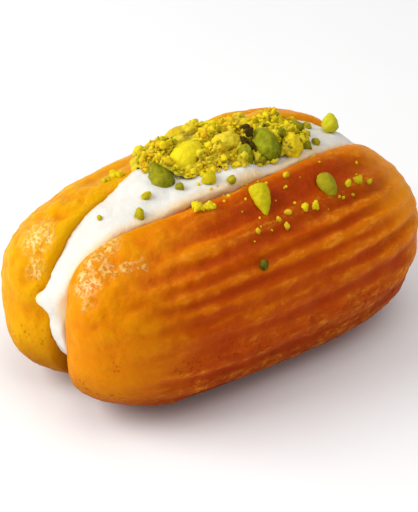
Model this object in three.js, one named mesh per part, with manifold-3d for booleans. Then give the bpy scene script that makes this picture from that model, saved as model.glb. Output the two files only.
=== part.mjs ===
// Balah el sham: a short finger of fried choux dough, piped through a star nozzle, slit along
// the top, opened like a bun and filled with cream, with chopped pistachio heaped over it.
// Millimetres, +Z up. X runs along the pastry, the front half is on the -Y side, and the origin
// lies under the middle, in the plane that the pastry rests on.

import * as THREE from "three";
import { mergeVertices } from "three/addons/utils/BufferGeometryUtils.js";
import Module from "manifold-3d";

const wasm = await Module();
wasm.setup();

const { abs, atan2, cos, floor, hypot, max, min, PI, sin, sign } = Math;
const degrees = (angle) => (angle * PI) / 180;

// ---- Driving dimensions -------------------------------------------------------------------

const LENGTH = 84.2; // of the pastry's two lobes
const FINGER_WIDTH = 51.4; // of the piped finger, before it was opened
const FINGER_HEIGHT = 41.3;
const SECTION_SQUARENESS = 2.46; // exponent of the section: 2 is an ellipse, more is squarer
const NEAR_BLUNTNESS = 4.1; // the same for the outline of the end at -X
const FAR_BLUNTNESS = 3.27;
const TAPER = 0.095; // how much thicker the far end is, and the near end thinner
const FAR_DROOP = 0.08; // how much lower the top is at the far end, as a share of its height
const FAR_TUCK = 1.8; // the far end's upper corners are drawn in this far
const BACK_FOOT = 1.6; // the back half's foot juts out this far at the near end
const FLAT_DEPTH = 2.1; // its own weight has flattened the underside this much
const HINGE_HEIGHT = 5; // uncut dough under the slit, about which the halves lean out
const MIDDLE_LEAN = degrees(4.5); // of each half
const END_LEAN = degrees(0.6);
const LOBE_MIDDLE = 12; // each end is two round lobes, this far to either side of the slit
const LOBE_ROUNDING = 6; // how far the end falls back from there to the slit
const RIDGE_DEPTH = 0.8; // of the valleys between two ridges
const FAR_RIDGE_DEPTH = 1.4; // at the far end
// Where the ridges of one half have their crests, in degrees round from the slit.
const RIDGE_CRESTS = [18, 36, 46, 56, 67, 79, 95, 115, 138, 163];

const SLIT_WIDTH = 18.6; // at the rims, where it is widest
const SLIT_END_WIDTH = 6.8; // at the rims, at the ends
const SLIT_FOOT_WIDTH = 1.6; // at the bottom of the cut
const SLIT_WIDENING = 0.8; // how it widens from the foot: 1 is evenly, less is sooner
const SLIT_WIDEST_AT = 7; // of X
const SLIT_BOTTOM = 6; // of Z, in the middle
const SLIT_END_BOTTOM = 2.5;
const GAP = 0.3; // left between two pieces that touch
const MIDDLE_X = -0.43; // of the bounding box, which is moved over the origin at the end

const CREAM_LENGTH = 79.2;
const CREAM_WIDTH = 44; // of the crowned shape that the slit cuts it out of
const CREAM_TOP = 39.8;
const CREAM_SIDE_BLUNTNESS = 2.5; // of the crowned shape's outline seen from the side
const CREAM_END_BLUNTNESS = 2.7; // and seen from an end
const CREAM_SWELLS = 0.5; // height of its soft undulations
// Cream that was pressed out of the slit in a tongue over the back half's edge, at the near end.
const PRESSED_OUT = { at: [-37.6, 0.4, 22.6], size: [9.6, 6.6, 8.4], turn: [0, 0, 138], taper: 0.55 };

const HEAP_CENTRE = [4, 2.8, 38.2];
const HEAP_SIZE = [37, 18, 8.6];
const HEAP_TURN = degrees(-14); // seen from above
const HEAP_BLUNTNESS = 2.4;
const HEAP_BUMPS = 0.1; // how uneven its core is, as a share of its size
const HEAP_CRUMBS = 46;
const CRUMB_SIZE = 2.3; // an average crumb of chopped pistachio
const CRUMB_LIFT = 0.12; // how far a crumb's middle lies above what carries it, as a share of it
const DENTS = 0.13; // depth of the dents in a nut or crumb, as a share of its thickness

// Pieces of pistachio that are large enough to pick up: the place of the middle, the size, the
// turn in degrees and how much narrower the nose is. The turn is a roll about the long axis, a
// dip of the nose below the horizontal, and the heading of the nose round from +X.
const KERNELS = {
  kernel_dark_end: { at: [9.6, -4, 41.2], size: [7.6, 5.2, 5], turn: [0, -40, 86], taper: 0.1 },
  kernel_teardrop: { at: [-12.4, 1.6, 39.6], size: [7.2, 4.6, 3.8], turn: [0, -27, 84], taper: 0.5 },
  kernel_long: { at: [0.8, 11.6, 39.4], size: [7.4, 4.4, 4], turn: [0, -6, 6], taper: 0.25 },
  kernel_lump: { at: [-4.4, 3, 40.6], size: [8.6, 6, 5.4], turn: [0, -11, 14], taper: 0.15 },
  kernel_rough: { at: [3.6, 0.8, 42], size: [6.2, 4.6, 3.6], turn: [0, 0, -12], taper: 0.1 },
  kernel_small: { at: [4.4, -3.9, 40.6], size: [4.6, 3.2, 3.4], turn: [0, -60, 50], taper: 0.2 },
  kernel_cluster: { at: [14.6, -6, 40], size: [5.8, 4.2, 4], turn: [0, -50, 60], taper: 0.1 },
  kernel_wedge: { at: [0.2, -13.6, 37.4], size: [7.8, 3.6, 2.6], turn: [0, 34, -111], taper: 0.5 },
  kernel_leaf: { at: [14.2, -17, 36.6], size: [5.4, 3.6, 2.6], turn: [0, 27, -100], taper: 0.2 },
  kernel_far: { at: [30.2, -0.4, 37.2], size: [4.2, 3.4, 3.2], turn: [0, -62, 60], taper: 0.4 },
};

// Crumbs that lie apart: X and Y of the middle and the mean size.
const CRUMBS_ON_CREAM = [
  [-22, -4.3, 2.6],
  [-18, -1.2, 1.7],
  [-11.4, -3.2, 1.8],
  [-5.7, -5, 2.6],
  [-2.4, -7.9, 1.7],
  [21.6, -5.4, 2],
  [23, -1, 1.7],
  [26.6, 2.6, 1.6],
  [-27.2, 1.2, 1.1],
];
const CRUMBS_ON_FRONT = [
  [21.6, -17.8, 1.7],
  [24, -18.4, 1.2],
  [18.8, -17.9, 1.4],
  [6.8, -18.8, 1.3],
  [9.1, -19.3, 1.5],
  [3, -18.1, 1.2],
  [1.2, -19.8, 1.2],
  [0.4, -18.4, 1.1],
  [-5.1, -18.7, 1],
  [8.4, -11.4, 1.2],
  [-11.9, -9.6, 2.6],
  [-9.9, -10.2, 2],
  [-7.4, -23.1, 2],
];
const CRUMBS_ON_BACK = [
  [-16, 10.4, 2.6],
  [-18.4, 10.4, 1.7],
  [-8.6, 13.4, 2],
  [11, 14, 1.8],
  [16.4, 12.8, 1.6],
];

const smoothstep = (low, high, x) => {
  const t = min(1, max(0, (x - low) / (high - low)));
  return t * t * (3 - 2 * t);
};

// A draw from 0 to 1 that is the same each time for the same seed.
const drawn = (seed) => {
  const raised = sin(seed * 12.9898 + 4.1414) * 43758.5453;
  return raised - floor(raised);
};

// The power of a number that may be negative, with its sign kept.
const signedPower = (base, exponent) => sign(base) * abs(base) ** exponent;

// ---- Turning three.js geometries into solids and back ---------------------------------------

// A closed geometry whose points are moved by a function, with its shared vertices merged.
function reshaped(geometry, place) {
  geometry.deleteAttribute("normal");
  geometry.deleteAttribute("uv");
  const merged = mergeVertices(geometry, 1e-5);
  const position = merged.getAttribute("position");
  for (let i = 0; i < position.count; i++) {
    const point = place(position.getX(i), position.getY(i), position.getZ(i));
    position.setXYZ(i, point[0], point[1], point[2]);
  }
  const mesh = new wasm.Mesh({
    numProp: 3,
    vertProperties: position.array,
    triVerts: new Uint32Array(merged.index.array),
  });
  return new wasm.Manifold(mesh);
}

// A ball whose poles lie on X, its outline from pole to pole made as blunt as the two exponents
// for the ends at -X and +X say: 2 is an ellipse, more is blunter. The function gets the station
// from -1 to 1 along X, the share of the full section there, and the turn from 0 at the top to 1
// or -1 at the bottom, positive on the front, the -Y side.
function reshapedBall(rings, sides, bluntness, place) {
  const ball = new THREE.SphereGeometry(1, sides, rings).rotateZ(-PI / 2);
  return reshaped(ball, (a, b, c) => {
    const power = a < 0 ? bluntness[0] : bluntness[1];
    const radius = hypot(b, c);
    const stretch = (abs(a) ** power + radius ** power) ** (-1 / power);
    return place(a * stretch, radius * stretch, atan2(-b, c) / PI);
  });
}

function geometryOf(solid) {
  const mesh = solid.getMesh();
  const geometry = new THREE.BufferGeometry();
  geometry.setAttribute("position", new THREE.BufferAttribute(mesh.vertProperties, 3));
  geometry.setIndex(new THREE.BufferAttribute(mesh.triVerts, 1));
  return geometry;
}

// ---- The finger of dough --------------------------------------------------------------------

const leanAt = (station) => END_LEAN + (MIDDLE_LEAN - END_LEAN) * (1 - station * station);

// The valleys lie midway between two crests. A turn moves through every ridge in equal steps, so
// that the facets of all ridges are alike.
const VALLEYS = [0, ...RIDGE_CRESTS.slice(1).map((crest, i) => (crest + RIDGE_CRESTS[i]) / 2), 180];

function ridgeAt(turn) {
  const along = min(abs(turn), 0.9999) * RIDGE_CRESTS.length;
  const ridge = floor(along);
  const across = along - ridge;
  const angle = VALLEYS[ridge] + (VALLEYS[ridge + 1] - VALLEYS[ridge]) * across;
  return { angle: degrees(angle) * sign(turn), height: sin(PI * across) ** 0.7 };
}

// A point of the dough's skin, or of a skin that lies outside it by a clearance.
function skinPoint(station, share, turn, clearance) {
  const { angle, height } = ridgeAt(turn);
  const ridged = smoothstep(0.45, 0.9, share) * smoothstep(-1, -0.5, station);
  const depth = RIDGE_DEPTH + (FAR_RIDGE_DEPTH - RIDGE_DEPTH) * smoothstep(0, 0.9, station);
  const cut = (1 - height) * depth * ridged - clearance;
  const thickness = share * (1 + TAPER * station);
  const across = signedPower(sin(angle), 2 / SECTION_SQUARENESS);
  const upwards = signedPower(cos(angle), 2 / SECTION_SQUARENESS);
  const lowered = 1 - (upwards > 0 ? FAR_DROOP * smoothstep(0.2, 1, station) : 0);
  const pipedY = -(FINGER_WIDTH / 2 - cut) * thickness * across;
  const pipedUp =
    (FINGER_HEIGHT / 2 - cut) * thickness * upwards * lowered + FINGER_HEIGHT / 2 - HINGE_HEIGHT;
  // Each half leans out about the hinge, the more the nearer it is to the rim.
  const leaning = smoothstep(0, degrees(6), abs(angle)) * (1 - smoothstep(degrees(120), PI, abs(angle)));
  const lean = leanAt(station) * leaning * sign(angle);
  const y = pipedY * cos(lean) - pipedUp * sin(lean);
  const z = HINGE_HEIGHT + pipedY * sin(lean) + pipedUp * cos(lean);
  const inwards = LOBE_ROUNDING * max(0, 1 - abs(y) / LOBE_MIDDLE) ** 2.2;
  const tuck = station > 0 ? FAR_TUCK * max(0, upwards) ** 2 : 0;
  const foot = across < 0 ? BACK_FOOT * smoothstep(0.5, 1, -station) * max(0, -upwards) : 0;
  const x = station * (LENGTH / 2 + clearance - inwards - tuck) - foot;
  return [x, y, max(z - FLAT_DEPTH, -clearance)];
}

const fingerSolid = (clearance) =>
  reshapedBall(27, 8 * RIDGE_CRESTS.length, [NEAR_BLUNTNESS, FAR_BLUNTNESS], (station, share, turn) =>
    skinPoint(station, share, turn, clearance),
  );

// ---- The slit and the cream -----------------------------------------------------------------

// The full width of the slit at its rims.
function slitWidthAt(x) {
  const away = (x - SLIT_WIDEST_AT) / (LENGTH / 2);
  return SLIT_END_WIDTH + (SLIT_WIDTH - SLIT_END_WIDTH) * max(0, 1 - away * away);
}

// A wedge through the whole pastry, lens-shaped seen from above and narrow at the foot.
function slitSolid(clearance) {
  const reach = LENGTH / 2 + 4;
  const top = CREAM_TOP + 6;
  return reshaped(new THREE.BoxGeometry(2, 2, 2, 26, 1, 5), (a, b, c) => {
    const x = a * reach;
    const station = x / (LENGTH / 2);
    const bottom = SLIT_BOTTOM + (SLIT_END_BOTTOM - SLIT_BOTTOM) * min(1, station * station);
    const height = (c + 1) / 2;
    const rimShare = min(1, (height * (top - bottom)) / (FINGER_HEIGHT - bottom));
    const width = SLIT_FOOT_WIDTH + (slitWidthAt(x) - SLIT_FOOT_WIDTH) * rimShare ** SLIT_WIDENING;
    return [x, b * (width / 2 + clearance), bottom + height * (top - bottom) + c * clearance];
  });
}

// The height of the cream's soft undulations at a place.
const swellAt = (x, y) => CREAM_SWELLS * (sin(x * 0.42 + 1.3) * 0.6 + sin(x * 0.23 - y * 0.35) * 0.7);

// The crowned shape that the filling would have, were it not held in the slit.
function crownSolid(clearance) {
  const centre = CREAM_TOP / 2;
  const bluntness = [CREAM_SIDE_BLUNTNESS, CREAM_SIDE_BLUNTNESS];
  return reshapedBall(24, 36, bluntness, (station, share, turn) => {
    const across = signedPower(sin(turn * PI), 2 / CREAM_END_BLUNTNESS);
    const upwards = signedPower(cos(turn * PI), 2 / CREAM_END_BLUNTNESS);
    const x = station * (CREAM_LENGTH / 2 + clearance);
    const y = -across * (CREAM_WIDTH / 2 + clearance) * share;
    const swell = swellAt(x, y) * max(0, upwards) * share;
    return [x, y, centre + upwards * (centre + clearance) * share + swell];
  });
}

// ---- Pistachio ------------------------------------------------------------------------------

// A lump with an uneven, chopped surface: an ellipsoid pinched at one end and dented by rule.
function lump({ at, size, turn, taper }, seed, clearance, dents = DENTS, rings = 6, sides = 9) {
  const pose = new THREE.Euler(...turn.map(degrees), "ZYX");
  return reshapedBall(rings, sides, [2, 2], (station, share, around) => {
    const round = share * (1 - taper * station);
    const dent = 1 + dents * sin(seed * 2.1 + station * 4 + around * 9) * sin(seed + around * 14);
    const point = new THREE.Vector3(
      station * (size[0] / 2 + clearance),
      -sin(around * PI) * round * dent * (size[1] / 2 + clearance),
      cos(around * PI) * round * dent * (size[2] / 2 + clearance),
    );
    return point.applyEuler(pose).add(new THREE.Vector3(...at)).toArray();
  });
}

// A crumb has few faces, a size about its mean and any turn.
function crumb(at, size, seed) {
  const sizes = [0, 1, 2].map((axis) => size * (0.75 + 0.6 * drawn(seed + axis * 7.7)));
  const turn = [0, 1, 2].map((axis) => 360 * drawn(seed * 1.7 + axis * 3.1));
  return lump({ at, size: sizes, turn, taper: 0.2 }, seed, 0, DENTS, 3, 5);
}

// The height of a solid's surface over a place: the top of what a thin needle cuts out of it.
function topOf(solid, x, y) {
  const needle = new THREE.BoxGeometry(0.4, 0.4, 200);
  const pierced = solid.intersect(reshaped(needle, (a, b, c) => [a + x, b + y, c]));
  return pierced.boundingBox().max[2];
}

// Crumbs that lie on a solid, without those that would touch one of its neighbours.
function scattered(crumbs, ground, neighbours, seed) {
  const placed = crumbs.map(([x, y, size], i) => {
    const at = [x, y, topOf(ground, x, y) + size * CRUMB_LIFT];
    const room = crumb(at, size + 2 * GAP, seed + i);
    const free = neighbours.every((piece) => room.intersect(piece).isEmpty());
    return free ? [crumb(at, size, seed + i)] : [];
  });
  return placed.flat();
}

// The heap's bare core, a low mound over the cream and the rim of the back half.
const heapPose = new THREE.Euler(0, 0, HEAP_TURN);
function onHeap(station, share, turn) {
  const bumps = 1 + HEAP_BUMPS * sin(station * 13 + turn * 8) * cos(turn * 23 + station * 5);
  const point = new THREE.Vector3(
    (station * HEAP_SIZE[0]) / 2,
    (-sin(turn * PI) * share * bumps * HEAP_SIZE[1]) / 2,
    (cos(turn * PI) * share * bumps * HEAP_SIZE[2]) / 2,
  );
  return point.applyEuler(heapPose).add(new THREE.Vector3(...HEAP_CENTRE)).toArray();
}

function heapSolid() {
  let heap = reshapedBall(16, 22, [HEAP_BLUNTNESS, HEAP_BLUNTNESS], onHeap);
  for (let i = 0; i < HEAP_CRUMBS; i++) {
    const station = (((i + 0.5) / HEAP_CRUMBS) * 2 - 1) * 0.95;
    const turn = (drawn(i + 0.3) * 2 - 1) * 0.42; // on the upper side alone
    const share = (1 - abs(station) ** HEAP_BLUNTNESS) ** (1 / HEAP_BLUNTNESS);
    const size = CRUMB_SIZE * (0.7 + 0.7 * drawn(i * 3.3));
    heap = heap.add(crumb(onHeap(station, share, turn), size, i + 20));
  }
  return heap;
}

// ---- Putting it together --------------------------------------------------------------------

const kernelNames = Object.keys(KERNELS);
const kernelSolids = (clearance) => kernelNames.map((name, i) => lump(KERNELS[name], i + 1, clearance));
const cutBy = (solid, cutters) => cutters.reduce((rest, cutter) => rest.subtract(cutter), solid);
const joined = (solid, others) => others.reduce((whole, other) => whole.add(other), solid);
// Cutting may leave a scrap that holds on to nothing, and it is dropped.
const largestOf = (solid) => solid.decompose().sort((a, b) => b.volume() - a.volume())[0];

const finger = fingerSolid(0);
const pressedOut = (clearance) => lump(PRESSED_OUT, 0, clearance, 0, 10, 16);
const dough = finger.subtract(slitSolid(GAP)).subtract(pressedOut(GAP));
const filling = slitSolid(0).intersect(crownSolid(0)).add(pressedOut(0));
const roomForFilling = slitSolid(GAP).intersect(crownSolid(GAP)).add(pressedOut(GAP));
const roomForKernels = kernelSolids(GAP);

// Each kernel gives way to those before it.
const kernels = kernelSolids(0).map((kernel, i) => largestOf(cutBy(kernel, roomForKernels.slice(0, i))));

const heap = largestOf(cutBy(heapSolid(), [fingerSolid(GAP), roomForFilling, ...roomForKernels]));
const topping = [heap, ...roomForKernels];
const crumbsOnDough = [
  ...scattered(CRUMBS_ON_FRONT, finger, [roomForFilling, ...topping], 100),
  ...scattered(CRUMBS_ON_BACK, finger, [roomForFilling, ...topping], 200),
];
const crumbsOnCream = scattered(CRUMBS_ON_CREAM, filling, [dough, ...topping], 300);

const pastry = largestOf(cutBy(joined(dough, crumbsOnDough), roomForKernels));
const cream = largestOf(cutBy(joined(filling, crumbsOnCream), roomForKernels));

const part = new THREE.Group();

function addPiece(name, solid, color, roughness) {
  const material = new THREE.MeshStandardMaterial({ color, roughness, metalness: 0 });
  const mesh = new THREE.Mesh(geometryOf(solid.translate([-MIDDLE_X, 0, 0])), material);
  mesh.name = name;
  part.add(mesh);
}

addPiece("pastry", pastry, 0xe08a18, 0.25);
addPiece("cream", cream, 0xf8f5f0, 0.5);
addPiece("pistachio_heap", heap, 0xc8bb20, 0.8);
kernelNames.forEach((name, i) => addPiece(name, kernels[i], 0x8a9a20, 0.7));

export default part;
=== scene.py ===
# %% [markdown]
# # Balah el sham, filled with cream and strewn with pistachio
#
# A finger of choux dough is piped through a star nozzle, fried, drenched in syrup, slit along the
# top and opened like a bun. The slit is filled with whipped cream, and chopped pistachio is
# heaped over it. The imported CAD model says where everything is. Here each solid gets the skin,
# the crumb and the shine that solids with few faces can't have.

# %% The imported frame
import math

import bpy
import numpy as np
from mathutils import Euler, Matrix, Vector, noise
from mathutils.bvhtree import BVHTree


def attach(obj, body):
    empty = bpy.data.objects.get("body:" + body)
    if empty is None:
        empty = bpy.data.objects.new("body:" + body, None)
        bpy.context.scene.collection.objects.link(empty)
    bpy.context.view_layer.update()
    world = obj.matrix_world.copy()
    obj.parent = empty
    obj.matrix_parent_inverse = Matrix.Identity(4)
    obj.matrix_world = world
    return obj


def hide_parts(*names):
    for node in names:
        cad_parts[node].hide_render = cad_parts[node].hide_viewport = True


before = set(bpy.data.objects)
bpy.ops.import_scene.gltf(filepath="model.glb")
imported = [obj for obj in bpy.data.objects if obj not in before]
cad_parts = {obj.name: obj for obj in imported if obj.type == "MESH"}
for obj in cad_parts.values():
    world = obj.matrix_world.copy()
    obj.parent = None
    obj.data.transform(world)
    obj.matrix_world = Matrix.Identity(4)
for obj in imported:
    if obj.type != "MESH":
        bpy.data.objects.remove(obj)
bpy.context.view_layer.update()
MM = 0.001

# %% [markdown]
# ## The bench
#
# Operators act on what is selected, so every piece is first selected alone. The forms of food are
# worked out as sums on whole lists of points, in millimetres, which numpy does in one go.


# %% Selecting, modifying and shading
def alone(piece):
    """Selects this piece only and makes it the active one."""
    bpy.ops.object.select_all(action="DESELECT")
    piece.select_set(True)
    bpy.context.view_layer.objects.active = piece


def named(name):
    """Names the piece that was just made, with its place moved into its mesh."""
    piece = bpy.context.object
    piece.name = piece.data.name = name
    bpy.ops.object.transform_apply(location=True, rotation=True, scale=True)
    return piece


def modify(piece, kind, **settings):
    """Adds one modifier and applies it at once."""
    alone(piece)
    modifier = piece.modifiers.new(kind.lower(), kind)
    for key, value in settings.items():
        setattr(modifier, key, value)
    bpy.ops.object.modifier_apply(modifier=modifier.name)


def shade(piece):
    """Shades the piece smooth, so that its small faces don't show."""
    alone(piece)
    bpy.ops.object.shade_smooth()


# %% Points as lists of numbers
def points_of(piece):
    """The piece's points in millimetres, one row each."""
    found = np.empty(len(piece.data.vertices) * 3)
    piece.data.vertices.foreach_get("co", found)
    return found.reshape(-1, 3) / MM


def normals_of(piece):
    """The way that the skin faces at each point, one row each."""
    found = np.empty(len(piece.data.vertices) * 3)
    piece.data.vertices.foreach_get("normal", found)
    return found.reshape(-1, 3)


def move_points(piece, places):
    """Moves the piece's points to these places in millimetres."""
    piece.data.vertices.foreach_set("co", (places * MM).ravel())
    piece.data.update()


def keep(piece, attribute, numbers):
    """Keeps a number on each point, which a finish can read."""
    kept = piece.data.attributes.new(attribute, "FLOAT", "POINT")
    kept.data.foreach_set("value", np.asarray(numbers, np.float32))


def smoothstep(low, high, x):
    """0 at low, 1 at high, and a smooth rise between; low may be the greater."""
    t = np.clip((x - low) / (high - low), 0, 1)
    return t * t * (3 - 2 * t)


def signed_power(base, exponent):
    """A power that keeps the sign, with which a circle becomes a rounded square."""
    return np.sign(base) * np.abs(base) ** exponent


def grain(places, size, seed):
    """Soft noise from about -1 to 1 at these places, its swells this many millimetres across."""
    shift = Vector((seed * 7.3, seed * 3.1, seed * 5.7))
    return np.array([noise.noise(Vector(place) / size + shift) for place in places])


# %% [markdown]
# ## The piped finger
#
# The real finger leaves a star nozzle with ridges all along it. A circle is extruded once along
# X, and its long edges are cut into rings, which gives a tube with points in neat rows. Then one
# function moves every point onto the piped form. Sculpting could do it too, but a function keeps
# the same dimensions as the CAD solid, so that what shows never leaves what collides.

# %% Dimensions of the dough, the same as in the CAD, in millimetres
MIDDLE_X = -0.43  # of the box, which the CAD moves over the origin
LENGTH = 84.2
FINGER_WIDTH = 51.4
FINGER_HEIGHT = 41.3
SECTION_SQUARENESS = 2.46
NEAR_BLUNTNESS = 4.1
FAR_BLUNTNESS = 3.27
TAPER = 0.095
FAR_DROOP = 0.08
FAR_TUCK = 1.8
BACK_FOOT = 1.6
FLAT_DEPTH = 2.1
HINGE_HEIGHT = 5
MIDDLE_LEAN = math.radians(4.5)
END_LEAN = math.radians(0.6)
LEAN_STARTS = math.radians(6)  # from the top of the section
LEAN_FADES = math.radians(120)
LOBE_MIDDLE = 12
LOBE_ROUNDING = 6
LOBE_SHARPNESS = 2.2

SLIT_WIDTH = 18.6
SLIT_END_WIDTH = 6.8
SLIT_FOOT_WIDTH = 1.6
SLIT_WIDENING = 0.8
SLIT_WIDEST_AT = 7
SLIT_BOTTOM = 6
SLIT_END_BOTTOM = 2.5
GAP = 0.3

# %% The ridges
RIDGE_CRESTS = [18, 36, 46, 56, 67, 79, 95, 115, 138, 163]  # in degrees from the top
VALLEYS = [0, *[(a + b) / 2 for a, b in zip(RIDGE_CRESTS, RIDGE_CRESTS[1:])], 180]
RIDGE_DEPTH = 0.8
FAR_RIDGE_DEPTH = 1.4
RIDGE_SHARPNESS = 1.3
USUAL_CUT = 0.8  # the share of the full depth that most valleys have here
UNEVEN_CUT = 0.28  # and how far it wanders from ridge to ridge and along them
COMB_DEPTH = 0.14  # of the fine lines that the nozzle's teeth drew beside the rims
COMB_LINES = 4  # to a ridge
print("valleys on each half:", VALLEYS[1:-1])


# %% A tube of neat rows
def edges_along(piece, axis):
    """In edit mode, selects only the edges that run along one axis."""
    bpy.ops.mesh.select_mode(type="EDGE")
    bpy.ops.mesh.select_all(action="DESELECT")
    bpy.ops.object.mode_set(mode="OBJECT")
    vertices = piece.data.vertices
    for edge in piece.data.edges:
        run = vertices[edge.vertices[1]].co - vertices[edge.vertices[0]].co
        edge.select = abs(run[axis]) > 0.9 * run.length
    bpy.ops.object.mode_set(mode="EDIT")


def tube(name, sides, rings):
    """A tube along X from -1 to 1 with that many sides and rings."""
    bpy.ops.object.select_all(action="DESELECT")
    bpy.ops.mesh.primitive_circle_add(
        vertices=sides, radius=1, location=(-1, 0, 0), rotation=(0, math.pi / 2, 0)
    )
    piece = named(name)
    bpy.ops.object.mode_set(mode="EDIT")
    bpy.ops.mesh.select_all(action="SELECT")
    bpy.ops.mesh.extrude_region_move(TRANSFORM_OT_translate={"value": (2, 0, 0)})
    edges_along(piece, 0)
    bpy.ops.mesh.subdivide(number_cuts=rings - 1)
    bpy.ops.object.mode_set(mode="OBJECT")
    return piece


def ball_rows(places, near_bluntness, far_bluntness):
    """For a tube's points: the station along a blunt ball, the share of its section, the turn."""
    angle = (places[:, 0] + 1) / 2 * np.pi
    along, out = -np.cos(angle), np.sin(angle)
    power = np.where(along < 0, near_bluntness, far_bluntness)
    stretch = (np.abs(along) ** power + out**power) ** (-1 / power)
    turn = np.arctan2(-places[:, 1], places[:, 2]) / np.pi
    return along * stretch, out * stretch, turn


def closed(piece):
    """Merges points that lie together, as at a tube's poles, and turns the faces outwards."""
    alone(piece)
    bpy.ops.object.mode_set(mode="EDIT")
    bpy.ops.mesh.select_all(action="SELECT")
    bpy.ops.mesh.remove_doubles(threshold=0.01 * MM)
    bpy.ops.mesh.normals_make_consistent(inside=False)
    bpy.ops.object.mode_set(mode="OBJECT")


# %% The star-piped form
def ridge_cut(station, share, turn, along, across):
    """How deep the skin lies under the ridges' crests, in millimetres."""
    height = np.sin(np.pi * across) ** RIDGE_SHARPNESS
    # the ridges fade out at both poles and over the near end
    ridged = smoothstep(0.45, 0.9, share) * smoothstep(-1, -0.5, station)
    # the fine lines lie on the first two ridges beside each rim, away from the near end
    comb = 0.5 - 0.5 * np.cos(2 * np.pi * COMB_LINES * along)
    comb = comb * smoothstep(0.5, 0.8, along) * smoothstep(1.7, 1.3, along)
    comb = comb * smoothstep(-0.7, -0.2, station)
    depth = RIDGE_DEPTH + (FAR_RIDGE_DEPTH - RIDGE_DEPTH) * smoothstep(0, 0.9, station)
    wander = np.sin(along * 2.1 + station * 3.4 * np.sign(turn) + 0.8)
    return ((1 - height) * depth * (USUAL_CUT + UNEVEN_CUT * wander) + comb * COMB_DEPTH) * ridged


def piped_form(station, share, turn):
    """Places on the star-piped, slit and opened finger."""
    along = np.minimum(np.abs(turn), 0.9999) * len(RIDGE_CRESTS)
    ridge = np.floor(along).astype(int)
    across = along - ridge
    valleys = np.array(VALLEYS)
    angle = np.radians(valleys[ridge] + np.diff(valleys)[ridge] * across) * np.sign(turn)
    cut = ridge_cut(station, share, turn, along, across)
    thickness = share * (1 + TAPER * station)
    aside = signed_power(np.sin(angle), 2 / SECTION_SQUARENESS)
    upwards = signed_power(np.cos(angle), 2 / SECTION_SQUARENESS)
    lowered = 1 - np.where(upwards > 0, FAR_DROOP * smoothstep(0.2, 1, station), 0)
    piped_y = -(FINGER_WIDTH / 2 - cut) * thickness * aside
    half_height = (FINGER_HEIGHT / 2 - cut) * thickness * upwards * lowered
    piped_up = half_height + FINGER_HEIGHT / 2 - HINGE_HEIGHT
    leaning = smoothstep(0, LEAN_STARTS, np.abs(angle))
    leaning = leaning * (1 - smoothstep(LEAN_FADES, math.pi, np.abs(angle)))
    lean = (END_LEAN + (MIDDLE_LEAN - END_LEAN) * (1 - station**2)) * leaning * np.sign(angle)
    y = piped_y * np.cos(lean) - piped_up * np.sin(lean)
    z = HINGE_HEIGHT + piped_y * np.sin(lean) + piped_up * np.cos(lean)
    inwards = LOBE_ROUNDING * np.maximum(0, 1 - np.abs(y) / LOBE_MIDDLE) ** LOBE_SHARPNESS
    tuck = np.where(station > 0, FAR_TUCK * np.maximum(0, upwards) ** 2, 0)
    foot = BACK_FOOT * smoothstep(0.5, 1, -station) * np.maximum(0, -upwards) * (aside < 0)
    x = station * (LENGTH / 2 - inwards - tuck) - foot - MIDDLE_X
    return np.stack([x, y, np.maximum(z - FLAT_DEPTH, 0)], 1)


dough = tube("glazed_dough", 320, 100)
rows = ball_rows(points_of(dough) * MM, NEAR_BLUNTNESS, FAR_BLUNTNESS)
move_points(dough, piped_form(*rows))
closed(dough)
print("piped finger:", len(dough.data.polygons), "faces, mm:", points_of(dough).max(0).round(1))

# %% [markdown]
# ## The slit
#
# A knife goes in along the top, and the two halves part. A cube is cut into slices along X and
# up Z, moved onto the same lens-shaped wedge as in the CAD, and taken out of the dough with a
# Boolean modifier. Its walls get a slow waver, because dough tears a little as it opens.

# %% The wedge
WEDGE_OVERRUN = 4  # past each end of the finger
WEDGE_TOP = 50  # above everything
WEDGE_CUTS = [(0, 90), (1, 3), (2, 24)]  # each axis, and how many cuts its edges get
WALL_WAVER = 0.35


def slit_half_width(x):
    """Half the slit's width at its rims, at places along X."""
    away = (x + MIDDLE_X - SLIT_WIDEST_AT) / (LENGTH / 2)
    return (SLIT_END_WIDTH + (SLIT_WIDTH - SLIT_END_WIDTH) * np.maximum(0, 1 - away**2)) / 2


def wedge(name, clearance):
    """The wedge that fills the slit, this much wider on each side."""
    bpy.ops.object.select_all(action="DESELECT")
    bpy.ops.mesh.primitive_cube_add(size=2)
    piece = named(name)
    bpy.ops.object.mode_set(mode="EDIT")
    for axis, cuts in WEDGE_CUTS:
        edges_along(piece, axis)
        bpy.ops.mesh.subdivide(number_cuts=cuts)
    bpy.ops.object.mode_set(mode="OBJECT")
    a, b, c = (points_of(piece) * MM).T
    x = a * (LENGTH / 2 + WEDGE_OVERRUN)
    station = x / (LENGTH / 2)
    bottom = SLIT_BOTTOM + (SLIT_END_BOTTOM - SLIT_BOTTOM) * np.minimum(1, station**2)
    height = (c + 1) / 2
    rim_share = np.minimum(1, height * (WEDGE_TOP - bottom) / (FINGER_HEIGHT - bottom))
    foot = SLIT_FOOT_WIDTH / 2
    half = foot + (slit_half_width(x - MIDDLE_X) - foot) * rim_share**SLIT_WIDENING + clearance
    z = bottom + height * (WEDGE_TOP - bottom) + c * clearance
    places = np.stack([x - MIDDLE_X, b * half, z], 1)
    places[:, 1] += WALL_WAVER * grain(places, 9, seed=1) * np.abs(b)
    move_points(piece, places)
    return piece


# %% Room for the tongue of cream, and the cut
PRESSED_OUT_AT = (-37.6, 0.4, 22.6)
PRESSED_OUT_SIZE = np.array([9.6, 6.6, 8.4])
PRESSED_OUT_TURN = (0, 0, 138)
PRESSED_OUT_TAPER = 0.55


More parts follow.
